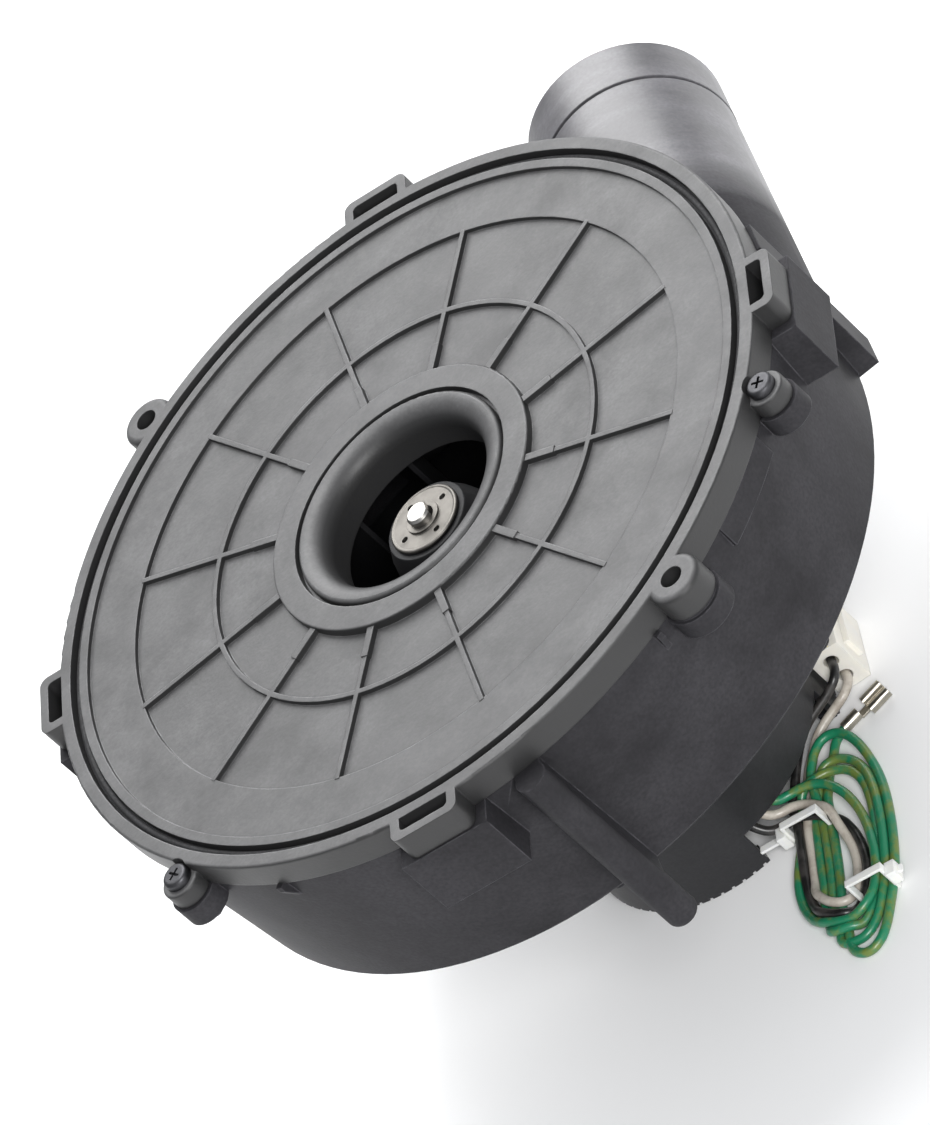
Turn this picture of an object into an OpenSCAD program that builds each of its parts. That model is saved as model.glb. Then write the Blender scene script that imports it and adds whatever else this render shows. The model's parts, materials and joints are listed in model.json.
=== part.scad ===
// Combustion fan (draft inducer) for a condensing furnace.
// Round plastic blower housing, impeller and shaded-pole motor.
// The shaft is the Z axis. z = 0 is the front plane of the inlet side, +Z points out of the inlet.
// The outlet runs along +Y. The part stands on the rear rim of its motor shroud.

/* [Cover] */
// Outer radius of the front rim
rim_r = 125; // [123:0.5:127]
// Depth of the cover rim, down to the seam with the housing
rim_depth = 9.3; // [8:0.1:11]
// Outer radius of the recessed panel
panel_r = 97.7; // [90:0.5:102]
// Radius of the circular rib on the panel
ring_rib_r = 68.2; // [62:0.2:75]
// Number of radial ribs
rib_count = 12; // [6:1:18]
// Width of a rib
rib_w = 1.6; // [1:0.1:2.4]
// Outer radius of the raised collar round the inlet
collar_r = 45.8; // [43:0.2:50]
// Radius of the inlet throat
throat_r = 28.5; // [26:0.1:29]

/* [Housing] */
// Outer radius of the housing wall at the seam
wall_r_front = 124; // [122:0.5:124]
// Outer radius of the housing wall at the rear
wall_r_back = 119.4; // [117:0.2:121]
// Distance from the front plane to the rear face of the housing
housing_depth = 68; // [66:0.5:70]
// Wall thickness of the mouldings
wall = 2.7; // [2.2:0.1:3.2]

/* [Outlet] */
// Outer diameter of the outlet collar, for a 2 inch vent coupling
outlet_od = 61; // [58:0.5:61]
// Inner diameter of the outlet tube
outlet_id = 54.6; // [50:0.2:55]
// Sideways offset of the outlet axis from the shaft
outlet_x = 95.4; // [93:0.2:97]
// Distance from the shaft to the end of the outlet
outlet_end = 128; // [122:1:140]
// Length of the end collar
outlet_collar = 18.6; // [15:0.2:22]

/* [Mounting] */
// Radius of the circle through the two mounting holes
ear_pitch_r = 128.4; // [127:0.2:130]
// Angle of the first mounting hole, the second is opposite
ear_angle = 120.8; // [118:0.2:123]
// Diameter of a mounting hole
ear_hole_d = 7; // [5:0.5:8]

/* [Motor] */
// Outer radius of the motor shroud
shroud_r = 45.3; // [45:0.1:47]
// Distance from the front plane to the rear rim of the shroud
shroud_end = 153.7; // [152:0.1:156]
// Radius of the motor stator
stator_r = 39.5; // [38:0.5:40]
// Length of the lamination stack
stack_h = 36; // [30:1:38]
// Diameter of the shaft
shaft_d = 7.94; // [7:0.01:8]

/* [Impeller] */
// Outer radius of the impeller
impeller_r = 84; // [76:1:88]
// Number of impeller blades
blade_count = 10; // [6:1:12]

/* [Leads] */
// Outer diameter of a lead
lead_d = 2.9; // [2.4:0.1:3]

/* [Hidden] */
$fn = 96;
eps = 0.01;

// Levels along the shaft, all below the front plane
seam_z = -rim_depth;
back_z = -housing_depth;
band_z = -0.3;
annulus_z = -1.7;
panel_z = -3.1;
rib_z = -1.5;
gasket_groove_z = -5;
floor_z = -shroud_end;
front_bracket_z = back_z - 7.5;
stator_top = front_bracket_z - 10;
stator_bottom = stator_top - stack_h;
rear_bracket_z = stator_bottom - 9;
fan_z = rear_bracket_z - 4;
shaft_front_z = -8.6;
hub_z = -12;
shaft_back_z = fan_z - 10.6;
impeller_back_z = back_z + wall + 5;
blade_top_z = -17.8;
blade_thickness = 1.6;

// Radii on the front face
groove_r_out = rim_r - 4.4;
groove_r_in = rim_r - 7.5;
band_r_in = rim_r - 10.5;
lip_r = 35.1;
bell_r = lip_r - throat_r;
lip_out_r = 36.6;
lip_groove_r = 37.6;

// Outlet
outlet_r = outlet_od / 2;
outlet_z = seam_z - outlet_r - 0.7;
outlet_groove_w = 1.3;

// Angles of the features round the rim
loop_angles = [77.3, 167.3, 257.3, 347.3];
screw_angles = [214.6, 330];
ear_angles = [ear_angle, ear_angle + 180];
gusset_angles = [114.6, 230.5, 294.6];
drain_angle = 270.8;
screw_pitch_r = 128.5;
pad_start = 310.5;
pad_sweep = 14.2;

// Snap loops on the cover and the blocks below them
loop_w = 22.6;
loop_r_out = 131.8;
loop_slot_w = 16.4;
loop_slot_r_in = 123.9;
loop_slot_r_out = 128.9;
block_w = 29.4;
block_r_out = 132.4;
block_depth = 20.7;

// Motor
shroud_wall = 2.2;
shroud_lugs = [56, 176, 296];
shroud_lug_r = 58;
shroud_notch_start = 277.5;
shroud_notch_sweep = 67.5;
shroud_notch_h = 13.4;
shaft_r = shaft_d / 2;
bearing_bore_r = shaft_r + 0.03;
rotor_r = 20.4;
air_gap = 0.4;
bolt_angles = [45, 135, 225, 315];
bolt_pitch_r = 35.6;
bolt_d = 3.4;

// Leads. The coil of spare lead is a flat loop on the surface that the part stands on.
lead_r = lead_d / 2;
coil_h = 8.4;
coil_top = [40, -38];
coil_low = [26, -96];
coil_r = 17.3;

// Route of each lead from the clamp on the motor to the coil
green_route = [[15.2, -32.8, -128], [15.3, -33.6, -134], [15.7, -35.2, -138], [16.4, -37.6, -142], [18, -40.2, -147], [20.6, -42.6, -150.5],
    [23.6, -44.6, -152]];
white_route = [[11.1, -34.1, -128], [11.3, -35.1, -134], [11.7, -36.8, -138], [12.4, -39.6, -142], [14.4, -43, -147], [18, -46, -150.5],
    [22.6, -48.4, -152]];
black_route = [[7, -35.5, -128], [7.2, -36.6, -134], [7.6, -38.4, -138], [8.4, -41, -142], [11, -45.6, -147], [15.6, -49.6, -150.6],
    [21.6, -52.2, -152]];

// Route of each lead from the coil to what is on its end
green_tail_route = [[36.5, -25.5, -152], [39.5, -22.6, -152], [41.8, -20.9, -152], [44.2, -20.1, -151.9]];
white_tail_route = [[43.4, -22.6, -148.4], [46.2, -18.4, -148.4], [49.2, -13.6, -148.4], [51.2, -9.4, -148.5],
    [52.1, -5.4, -148.55], [52.4, -3, -148.55]];
black_tail_route = [[39.8, -22.4, -146.9], [44.4, -17.8, -145.2], [47.8, -13.6, -143.4], [50.6, -9.4, -141.9],
    [51.9, -5.6, -141.4], [52.2, -3, -141.35]];

// Connector on the ends of the white and the black lead, on its narrow side
connector_at = [52, -5.2];
connector_turn = 83;
connector_l = 24;
connector_w = 17.6;
connector_t = 11.2;

// Quick-connect receptacle on the end of the green lead
terminal_at = [43.4, -20.3];
terminal_turn = 14.4;

// ---------- helpers ----------

module ring(r_out, r_in, z_low, z_high) {
    translate([0, 0, z_low]) difference() {
        cylinder(r = r_out, h = z_high - z_low);
        translate([0, 0, -1]) cylinder(r = r_in, h = z_high - z_low + 2);
    }
}

module at_polar(r, angle, z = 0) {
    rotate([0, 0, angle]) translate([r, 0, z]) children();
}

// Round post whose top edge is rounded, standing from z_low to z_high
module soft_post(r, z_low, z_high, edge) {
    rotate_extrude() {
        translate([0, z_low]) square([r, z_high - z_low - edge]);
        translate([0, z_low]) square([r - edge, z_high - z_low]);
        translate([r - edge, z_high - edge]) circle(r = edge, $fn = 48);
    }
}

// Flat bar with one round end, from x = 0 to x = len, centred on y = 0
module round_bar(len, w, z_low, z_high) {
    translate([0, -w / 2, z_low]) cube([len - w / 2, w, z_high - z_low]);
    translate([len - w / 2, 0, z_low]) cylinder(d = w, h = z_high - z_low);
}

function unit(v) = v / norm(v);

function route_dir(path, i) =
    unit(path[min(i + 1, len(path) - 1)] - path[max(i - 1, 0)]);

// Tube of eight sides swept along a route
module lead_tube(path, r) {
    sides = 8;
    n = len(path);
    points = [for (i = [0 : n - 1])
        let (d = route_dir(path, i),
            side = unit(cross(d, abs(d[2]) > 0.95 ? [1, 0, 0] : [0, 0, 1])),
            up = cross(side, d))
        for (k = [0 : sides - 1])
            path[i] + r * (cos(360 * k / sides) * side + sin(360 * k / sides) * up)];
    walls = [for (i = [0 : n - 2], k = [0 : sides - 1], half = [0, 1])
        let (a = i * sides + k, b = i * sides + (k + 1) % sides)
        half == 0 ? [a, b, b + sides] : [a, b + sides, a + sides]];
    first = [for (k = [sides - 1 : -1 : 0]) k];
    last = [for (k = [0 : sides - 1]) (n - 1) * sides + k];
    polyhedron(points, concat([first], walls, [last]));
}

// ---------- cover ----------

module cover_profile() {
    // rim, with a rounded front edge
    translate([groove_r_out, seam_z]) square([rim_r - groove_r_out, rim_depth - 0.8]);
    translate([groove_r_out, seam_z]) square([rim_r - groove_r_out - 0.8, rim_depth]);
    translate([rim_r - 0.8, -0.8]) circle(r = 0.8, $fn = 48);
    // floor of the gasket groove and the band inside it
    translate([groove_r_in - 0.5, gasket_groove_z - wall]) square([groove_r_out - groove_r_in + 1, wall]);
    translate([band_r_in, gasket_groove_z - wall]) square([groove_r_in - band_r_in, wall - gasket_groove_z + band_z]);
    // flat annulus and recessed panel
    translate([panel_r, annulus_z - wall]) square([band_r_in - panel_r + 1, wall]);
    translate([lip_r, panel_z - wall]) square([panel_r + wall - lip_r, wall]);
    translate([panel_r, panel_z - wall]) square([wall, wall - panel_z + annulus_z]);
    // spigot that centres the cover in the housing
    translate([groove_r_in, seam_z - 2.6]) square([wall, 6]);
    // collar round the inlet
    translate([lip_groove_r, panel_z - 1]) square([collar_r - lip_groove_r - 0.6, 1 - panel_z + band_z]);
    translate([lip_groove_r, panel_z - 1]) square([collar_r - lip_groove_r, 0.4 - panel_z + band_z]);
    translate([collar_r - 0.6, band_z - 0.6]) circle(r = 0.6, $fn = 48);
    // rolled lip and bell mouth
    translate([lip_r, panel_z - 1]) square([lip_out_r - lip_r, 0.4]);
    translate([lip_r, -1.5]) difference() {
        union() {
            circle(r = 1.5, $fn = 64);
            translate([-0.4, -2.4]) square([1.9, 2.4]);
        }
        translate([-3, -3]) square([2.6, 6]);
    }
    intersection() {
        translate([lip_r, -bell_r]) difference() {
            circle(r = bell_r, $fn = 128);
            circle(r = bell_r - 2.4, $fn = 128);
        }
        translate([throat_r - 1, -bell_r]) square([bell_r + 1.4, bell_r + 1]);
    }
    translate([throat_r, -bell_r - 8]) square([2.4, 8 + eps]);
}

module snap_loop() {
    corner = 3;
    translate([groove_r_out + 1, -loop_w / 2, seam_z])
        cube([loop_r_out - corner - groove_r_out - 1, loop_w, rim_depth]);
    translate([loop_r_out - corner - 1, -loop_w / 2 + corner, seam_z])
        cube([corner + 1, loop_w - 2 * corner, rim_depth]);
    for (s = [-1, 1])
        translate([loop_r_out - corner, s * (loop_w / 2 - corner), seam_z])
            cylinder(r = corner, h = rim_depth, $fn = 48);
}

module loop_slot() {
    corner = 1.6;
    translate([loop_slot_r_in, -loop_slot_w / 2, seam_z - 1])
        cube([loop_slot_r_out - corner - loop_slot_r_in, loop_slot_w, rim_depth + 3]);
    translate([loop_slot_r_out - corner - 1, -loop_slot_w / 2 + corner, seam_z - 1])
        cube([corner + 1, loop_slot_w - 2 * corner, rim_depth + 3]);
    for (s = [-1, 1])
        translate([loop_slot_r_out - corner, s * (loop_slot_w / 2 - corner), seam_z - 1])
            cylinder(r = corner, h = rim_depth + 3, $fn = 48);
}

module cover_ribs() {
    root_r = 57;
    for (i = [0 : rib_count - 1]) rotate([0, 0, i * 360 / rib_count]) {
        translate([collar_r - 1, -rib_w / 2, panel_z - 1])
            cube([panel_r - collar_r + 1.5, rib_w, rib_z - panel_z + 1]);
        translate([collar_r - 1, -rib_w / 2 - 0.4, panel_z - 1])
            cube([root_r - collar_r, rib_w + 0.8, rib_z - panel_z + 1.35]);
    }
    ring(ring_rib_r + rib_w / 2, ring_rib_r - rib_w / 2, panel_z - 1, rib_z);
}

module inlet_cover() {
    color("#4a4b50") difference() {
        union() {
            rotate_extrude($fn = 180) cover_profile();
            cover_ribs();
            for (a = loop_angles) rotate([0, 0, a]) snap_loop();
            difference() {
                for (a = ear_angles) at_polar(ear_pitch_r, a) soft_post(8.5, seam_z + 0.3, 0, 2);
                // the ears end inside the thickness of the rim
                translate([0, 0, seam_z - 1]) cylinder(r = groove_r_out + 2, h = rim_depth + 2, $fn = 180);
            }
            for (a = screw_angles) at_polar(screw_pitch_r, a) {
                soft_post(6.2, seam_z, -3.6, 0.8);
                translate([-7, -4.4, seam_z]) cube([7, 8.8, 5]);
            }
        }
        for (a = loop_angles) rotate([0, 0, a]) loop_slot();
        for (a = ear_angles) at_polar(ear_pitch_r, a, seam_z - 1) cylinder(d = ear_hole_d, h = rim_depth + 2);
        for (a = screw_angles) at_polar(screw_pitch_r, a, seam_z - 1) cylinder(d = 4.2, h = rim_depth + 2);
        // room for the screw heads beside the rim
        for (a = screw_angles) at_polar(screw_pitch_r, a, -3.6) cylinder(r = 4.7, h = 5);
    }
}

module face_gasket() {
    color("#0c0c0d") rotate_extrude($fn = 180) {
        translate([groove_r_in + 0.15, gasket_groove_z]) square([groove_r_out - groove_r_in - 0.3, 2.2]);
        translate([(groove_r_in + groove_r_out) / 2, gasket_groove_z + 2.2]) circle(r = 1.1, $fn = 48);
    }
}

// ---------- housing ----------

module housing_wall_profile(inset, z_low, z_high) {
    slope = (wall_r_front - wall_r_back) / (seam_z - back_z);
    r_high = wall_r_front - inset - slope * (seam_z - z_high);
    r_low = wall_r_front - inset - slope * (seam_z - z_low);
    chamfer = 1.4;
    polygon([[0, z_low], [r_low - chamfer, z_low], [r_low, z_low + chamfer], [r_high, z_high], [0, z_high]]);
}

module outlet_outside() {
    translate([outlet_x, outlet_end, outlet_z]) rotate([90, 0, 0]) {
        cylinder(r = outlet_r - 0.5, h = 0.6);
        translate([0, 0, 0.5]) cylinder(r = outlet_r, h = outlet_collar - 0.5);
        translate([0, 0, outlet_collar - eps]) cylinder(r = outlet_r - 1.2, h = outlet_groove_w + 2 * eps);
        translate([0, 0, outlet_collar + outlet_groove_w])
            cylinder(r = outlet_r - 0.15, h = outlet_end - outlet_collar - outlet_groove_w + 2);
    }
    // flat side where the tube leaves the round wall
    translate([outlet_x - 30, -3, back_z]) cube([outlet_r + 30.2, 12, seam_z - back_z - 0.6]);
}

module outlet_inside() {
    translate([outlet_x, outlet_end + 1, outlet_z]) rotate([90, 0, 0])
        cylinder(d = outlet_id, h = outlet_end + 1.5);
}

module drain_leg() {
    r = 5;
    length = 72.5;
    edge = 2.4;
    center_r = wall_r_front + r + 0.1;
    rotate([0, 0, drain_angle]) {
        translate([center_r, 0, 0]) rotate([180, 0, 0]) soft_post(r, -seam_z, -seam_z + length, edge);
        // web between the leg and the wall
        translate([wall_r_back - 3, -r + 0.6, back_z + 1.2]) cube([center_r - wall_r_back + 3, 2 * r - 1.2, seam_z - back_z - 1.2]);
    }
}

module catch_block() {
    translate([wall_r_back - 4, -block_w / 2, seam_z - block_depth])
        cube([block_r_out - wall_r_back + 4, block_w, block_depth]);
}

module seam_gusset() {
    translate([wall_r_back - 2, 1, seam_z]) rotate([90, 0, 0]) linear_extrude(height = 2)
        polygon([[0, 0], [9.2, 0], [9.2, -2], [3.4, -13], [0, -13]]);
}

module housing_lugs() {
    difference() {
        union() {
            for (a = ear_angles) at_polar(ear_pitch_r, a) {
                translate([0, 0, seam_z - 7.6]) cylinder(r = 9.3, h = 6.9);
                translate([0, 0, seam_z - 1]) cylinder(r = 8, h = 1);
            }
            for (a = screw_angles) at_polar(screw_pitch_r, a, seam_z - 7.6) cylinder(r = 7.2, h = 7.3);
        }
        // the lugs end inside the thickness of the wall
        translate([0, 0, seam_z - 20]) cylinder(r = wall_r_front - 1.7, h = 30, $fn = 180);
    }
}

module rear_face_details() {
    nub_angles = [for (i = [0 : 7]) 266 + 45 * i];
    for (a = nub_angles) at_polar(112.6, a, back_z - 2.6) cylinder(r = 3.2, h = 3.6);
    // stiffening ribs and ring behind the rear wall
    for (i = [0 : 11]) rotate([0, 0, 11 + 30 * i])
        translate([70, -0.9, back_z - 2]) cube([36, 1.8, 3]);
    ring(72.4, 70, back_z - 2, back_z + 1);
    // seat of the motor bracket and seats of the shroud lugs
    for (a = bolt_angles) at_polar(27, a, front_bracket_z) cylinder(r = 4.4, h = back_z - front_bracket_z + 1);
    for (a = shroud_lugs) at_polar(shroud_lug_r, a, back_z - 3.4) cylinder(r = 6.6, h = 4.4);
}

module scroll_housing() {
    color("#3a3b40") difference() {
        union() {
            rotate_extrude($fn = 180) housing_wall_profile(0, back_z, seam_z);
            outlet_outside();
            drain_leg();
            for (a = loop_angles) rotate([0, 0, a]) catch_block();
            for (a = gusset_angles) rotate([0, 0, a]) seam_gusset();
            housing_lugs();
            rear_face_details();
            rotate([0, 0, pad_start]) rotate_extrude(angle = pad_sweep, $fn = 180)
                translate([wall_r_front - 3, seam_z - 8.2]) square([3.9, 8.2]);
        }
        // inside of the round part
        rotate_extrude($fn = 180) housing_wall_profile(wall, back_z + wall, seam_z + 1);
        outlet_inside();
        // shaft opening, stepped for the seal
        translate([0, 0, back_z - 1]) cylinder(r = 7.5, h = wall + 3);
        translate([0, 0, back_z - 1]) cylinder(r = 14, h = 2.2);
        for (a = ear_angles) at_polar(ear_pitch_r, a, seam_z - 14) cylinder(d = ear_hole_d, h = 16);
        for (a = screw_angles) at_polar(screw_pitch_r, a, seam_z - 9) cylinder(d = 3.6, h = 10);
        for (a = shroud_lugs) at_polar(shroud_lug_r, a, back_z - 4.4) cylinder(r = 1.9, h = 5.6);
        for (a = bolt_angles) at_polar(27, a, front_bracket_z - 1) cylinder(r = 1.7, h = 8);
    }
}

module assembly_screws() {
    color("#191a1c") for (a = screw_angles) at_polar(screw_pitch_r, a) difference() {
        union() {
            soft_post(4.3, -3.6, -0.9, 1.3);
            translate([0, 0, -21]) cylinder(r = 1.8, h = 17.6);
        }
        translate([-2.1, -0.4, -2]) cube([4.2, 0.8, 2]);
        translate([-0.4, -2.1, -2]) cube([0.8, 4.2, 2]);
    }
}

// ---------- impeller and shaft ----------

module impeller_body_profile() {
    // back plate with a raised centre that carries the hub
    polygon([[6.6, impeller_back_z], [impeller_r, impeller_back_z], [impeller_r, impeller_back_z + 2.2],
        [44, impeller_back_z + 2.2], [26, impeller_back_z + 12], [16, hub_z - 6], [13.5, hub_z - 1.3],
        [6.6, hub_z - 1.3]]);
}

// Backward curved blade, as a slice of a cylinder wall
module blade() {
    bend_r = 62;
    intersection() {
        translate([58, bend_r - 14, impeller_back_z + 1])
            ring(bend_r + blade_thickness, bend_r, 0, blade_top_z - impeller_back_z - 1);
        ring(impeller_r - 0.5, 36, impeller_back_z + 1, blade_top_z);
        translate([20, -30, impeller_back_z]) cube([90, 60, 60]);
    }
}

module impeller() {
    color("#1d1d20") union() {
        rotate_extrude($fn = 160) impeller_body_profile();
        for (i = [0 : blade_count - 1]) rotate([0, 0, i * 360 / blade_count]) blade();
    }
}

module impeller_front_plate() {
    color("#222226") rotate_extrude($fn = 160)
        polygon([[34, blade_top_z], [impeller_r, blade_top_z], [impeller_r, blade_top_z + 0.8], [35, blade_top_z + 0.8],
            [33.4, blade_top_z + 1.8], [32.8, blade_top_z + 1.2]]);
}

module impeller_hub() {
    hole_angles = [0, 90, 180, 270];
    color("#c9c6bd") difference() {
        union() {
            rotate_extrude() {
                translate([0, hub_z - 1.2]) square([11.4, 1.2]);
                translate([11.2, hub_z - 0.5]) circle(r = 0.7, $fn = 48);
            }
            translate([0, 0, impeller_back_z]) cylinder(r = 6.6, h = hub_z - 1 - impeller_back_z);
            translate([0, 0, hub_z - eps]) cylinder(r = 5.6, h = 0.8);
        }
        translate([0, 0, impeller_back_z - 1]) cylinder(r = shaft_r, h = hub_z - impeller_back_z + 4);
        for (a = hole_angles) at_polar(8.2, a + 18, hub_z - 2) cylinder(r = 1.05, h = 4, $fn = 48);
    }
}

module motor_shaft() {
    color("#b9b7b0") difference() {
        union() {
            translate([0, 0, shaft_back_z]) cylinder(r = shaft_r, h = shaft_front_z - shaft_back_z - 0.8);
            translate([0, 0, shaft_front_z - 0.8]) cylinder(r1 = shaft_r, r2 = shaft_r - 0.7, h = 0.8);
        }
        // flat on the hub end
        translate([shaft_r - 0.9, -5, impeller_back_z + 26]) cube([3, 10, 60]);
        // groove of the fan clip
        ring(shaft_r + 1, shaft_r - 0.5, shaft_back_z + 2, shaft_back_z + 2.8);
    }
}

module shaft_seal() {
    color("#7c3d2a") ring(13.6, shaft_r + 0.08, back_z, back_z + 1.2);
}

module seal_retainer() {
    color("#a9abac") difference() {
        ring(17.5, 9, back_z - 0.9, back_z);
        for (a = [0, 120, 240]) at_polar(15.6, a, back_z - 3) cylinder(r = 1, h = 4, $fn = 48);
    }
}

// ---------- motor ----------

module bracket_star(r_out, z_low, t) {
    difference() {
        union() {
            translate([0, 0, z_low]) cylinder(r = 17, h = t);
            for (a = bolt_angles) rotate([0, 0, a]) round_bar(r_out, 11, z_low, z_low + t);
            ring(r_out, r_out - 6.5, z_low, z_low + t);
        }
        for (a = bolt_angles) at_polar(bolt_pitch_r, a, z_low - 1) cylinder(d = bolt_d + 0.2, h = t + 2);
    }
}

module front_bracket() {
    z = front_bracket_z - 2;
    color("#aeb1b3") difference() {
        union() {
            bracket_star(stator_r, z, 2);
            translate([0, 0, z - 6]) cylinder(r = 9.6, h = 6.5);
            // legs down to the lamination stack
            for (a = bolt_angles) at_polar(bolt_pitch_r, a, stator_top) cylinder(r = 3.8, h = z - stator_top + 1);
        }
        translate([0, 0, z - 7]) cylinder(r = 7, h = 12);
        for (a = bolt_angles) at_polar(bolt_pitch_r, a, stator_top - 1) cylinder(d = bolt_d + 0.2, h = 20);
        for (a = bolt_angles) at_polar(27, a, z - 1) cylinder(r = 1.9, h = 4);
    }
}

module front_bearing() {
    color("#b08a4e") ring(7, bearing_bore_r, front_bracket_z - 7.6, front_bracket_z - 0.2);
}

module stator_slots() {
    slot_count = 24;
    for (i = [0 : slot_count - 1]) rotate([0, 0, i * 360 / slot_count + 7.5]) {
        translate([rotor_r + 1.8, 0, stator_bottom - 1]) cylinder(r = 1, h = stack_h + 2, $fn = 24);
        translate([rotor_r + 1.9, -1.3, stator_bottom - 1]) cube([8, 2.6, stack_h + 2]);
    }
}

module stator_core() {
    color("#6d7074") difference() {
        translate([0, 0, stator_bottom]) cylinder(r = stator_r, h = stack_h);
        translate([0, 0, stator_bottom - 1]) cylinder(r = rotor_r + air_gap, h = stack_h + 2);
        stator_slots();
        for (a = bolt_angles) at_polar(bolt_pitch_r, a, stator_bottom - 1)
            cylinder(d = bolt_d + 0.2, h = stack_h + 2);
    }
}

module end_insulators() {
    color("#e7e0cc") {
        ring(31.4, 22.6, stator_top, stator_top + 0.8);
        ring(31.4, 22.6, stator_bottom - 0.8, stator_bottom);
    }
}

module winding_end(z_low, z_high) {
    rotate_extrude() translate([26.6, (z_low + z_high) / 2]) {
        square([5, z_high - z_low], center = true);
        for (s = [-1, 1]) translate([s * 2.5, 0]) circle(d = z_high - z_low, $fn = 48);
    }
}

module stator_windings() {
    color("#a4562b") {
        winding_end(stator_top + 0.8, stator_top + 5.4);
        winding_end(stator_bottom - 5.4, stator_bottom - 0.8);
    }
}

module thermal_protector() {
    color("#d8d3c4") at_polar(27.6, 180, stator_bottom - 7.5) translate([-3.4, -6, 0]) cube([6.8, 12, 2]);
}

module rotor_core() {
    color("#7b7e82") ring(rotor_r, shaft_r, stator_bottom, stator_top);
}

module rotor_end_rings() {
    color("#c3c6c8") {
        ring(rotor_r - 0.6, 12, stator_top, stator_top + 4);
        ring(rotor_r - 0.6, 12, stator_bottom - 4, stator_bottom);
    }
}

module thrust_washers() {
    color("#d9cfa8") {
        ring(6.4, shaft_r, front_bracket_z - 8.8, front_bracket_z - 7.9);
        ring(6.4, shaft_r, rear_bracket_z + 6.5, rear_bracket_z + 7.4);
    }
}

module rear_bracket() {
    z = rear_bracket_z;
    color("#aeb1b3") difference() {
        union() {
            difference() {
                bracket_star(stator_r, z, 2);
                // window for the leads
                rotate([0, 0, 288]) translate([33, -9, z - 1]) cube([5, 18, 4]);
            }
            translate([0, 0, z + 1]) cylinder(r = 9.6, h = 5);
            for (a = bolt_angles) at_polar(bolt_pitch_r, a, z + 1) cylinder(r = 3.8, h = stator_bottom - z - 1);
        }
        translate([0, 0, z - 1]) cylinder(r = 7, h = 12);
        for (a = bolt_angles) at_polar(bolt_pitch_r, a, z - 1) cylinder(d = bolt_d + 0.2, h = 20);
    }
}

module rear_bearing() {
    color("#b08a4e") ring(7, bearing_bore_r, rear_bracket_z - 0.6, rear_bracket_z + 6.2);
}

module motor_through_bolts() {
    top = front_bracket_z;
    color("#9a9c9f") for (a = bolt_angles) at_polar(bolt_pitch_r, a) {
        translate([0, 0, rear_bracket_z - 4]) cylinder(d = bolt_d, h = top - rear_bracket_z + 4);
        translate([0, 0, top]) cylinder(r = 3.2, h = 2.4);
    }
}

module motor_bolt_nuts() {
    color("#8c8e91") for (a = bolt_angles) at_polar(bolt_pitch_r, a, rear_bracket_z - 2.6) difference() {
        cylinder(r = 3.5, h = 2.6, $fn = 6);
        translate([0, 0, -1]) cylinder(d = bolt_d, h = 5);
    }
}

module bracket_screws() {
    color("#5c5e61") for (a = bolt_angles) at_polar(27, a) {
        translate([0, 0, front_bracket_z - 2]) cylinder(r = 1.7, h = 8.6);
        translate([0, 0, front_bracket_z - 4.2]) cylinder(r = 3.1, h = 2.2);
    }
}

module cooling_fan() {
    fan_r = 32.5;
    depth = 7.6;
    color("#2b2c30") {
        ring(fan_r, 7.5, fan_z - 1.4, fan_z);
        ring(8, shaft_r, fan_z - depth, fan_z);
        for (i = [0 : 7]) rotate([0, 0, i * 45])
            translate([7.7, -0.7, fan_z - depth]) cube([fan_r - 8.4, 1.4, depth - 1]);
    }
}

module fan_retaining_clip() {
    color("#9da0a3") difference() {
        ring(6.2, shaft_r - 0.5, shaft_back_z + 2, shaft_back_z + 2.8);
        translate([2, -1.6, shaft_back_z]) cube([8, 3.2, 4]);
    }
}

// ---------- motor shroud ----------

module shroud_lug() {
    z_top = back_z - 3.4;
    translate([shroud_r - 1.1, -8, z_top - 4]) cube([shroud_lug_r - shroud_r + 1.1, 16, 4]);
    translate([shroud_lug_r, 0, z_top - 4]) cylinder(r = 8, h = 4);
    for (s = [-1, 1]) translate([0, s * 7 + 1.1, z_top - 4]) rotate([90, 0, 0]) linear_extrude(height = 2.2)
        polygon([[44, 0], [60, 0], [46.5, -26], [44, -26]]);
}

module motor_shroud() {
    z_top = back_z - 3.4;
    tooth_count = 72;
    inner_r = shroud_r - shroud_wall;
    color("#17181a") difference() {
        union() {
            translate([0, 0, floor_z]) cylinder(r = shroud_r, h = z_top - floor_z);
            for (a = shroud_lugs) rotate([0, 0, a]) shroud_lug();
        }
        translate([0, 0, floor_z + 3]) cylinder(r = inner_r, h = 100);
        translate([0, 0, floor_z - 1]) cylinder(r = inner_r - 3.6, h = 10);
        // opening for the leads
        rotate([0, 0, shroud_notch_start]) rotate_extrude(angle = shroud_notch_sweep)
            translate([34, floor_z - 1]) square([20, shroud_notch_h + 1]);
        for (i = [0 : tooth_count - 1]) rotate([0, 0, i * 360 / tooth_count])
            translate([inner_r + 1.2, -0.6, floor_z - 1]) cube([5, 1.2, 1.7]);
        for (a = shroud_lugs) at_polar(shroud_lug_r, a, z_top - 5) cylinder(r = 4, h = 7);
    }
}

module shroud_isolators() {
    z_top = back_z - 3.4;
    color("#202124") for (a = shroud_lugs) at_polar(shroud_lug_r, a) {
        ring(3.95, 2.2, z_top - 4, z_top);
        ring(5.7, 2.2, z_top - 6, z_top - 4);
    }
}

module shroud_screws() {
    z_top = back_z - 3.4;
    color("#8f9194") for (a = shroud_lugs) at_polar(shroud_lug_r, a) {
        translate([0, 0, z_top - 7]) cylinder(r = 1.9, h = 11.4);
        translate([0, 0, z_top - 7.2]) cylinder(r = 5.2, h = 1.2);
        translate([0, 0, z_top - 10]) cylinder(r = 4, h = 3, $fn = 6);
    }
}

// ---------- leads ----------

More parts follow.
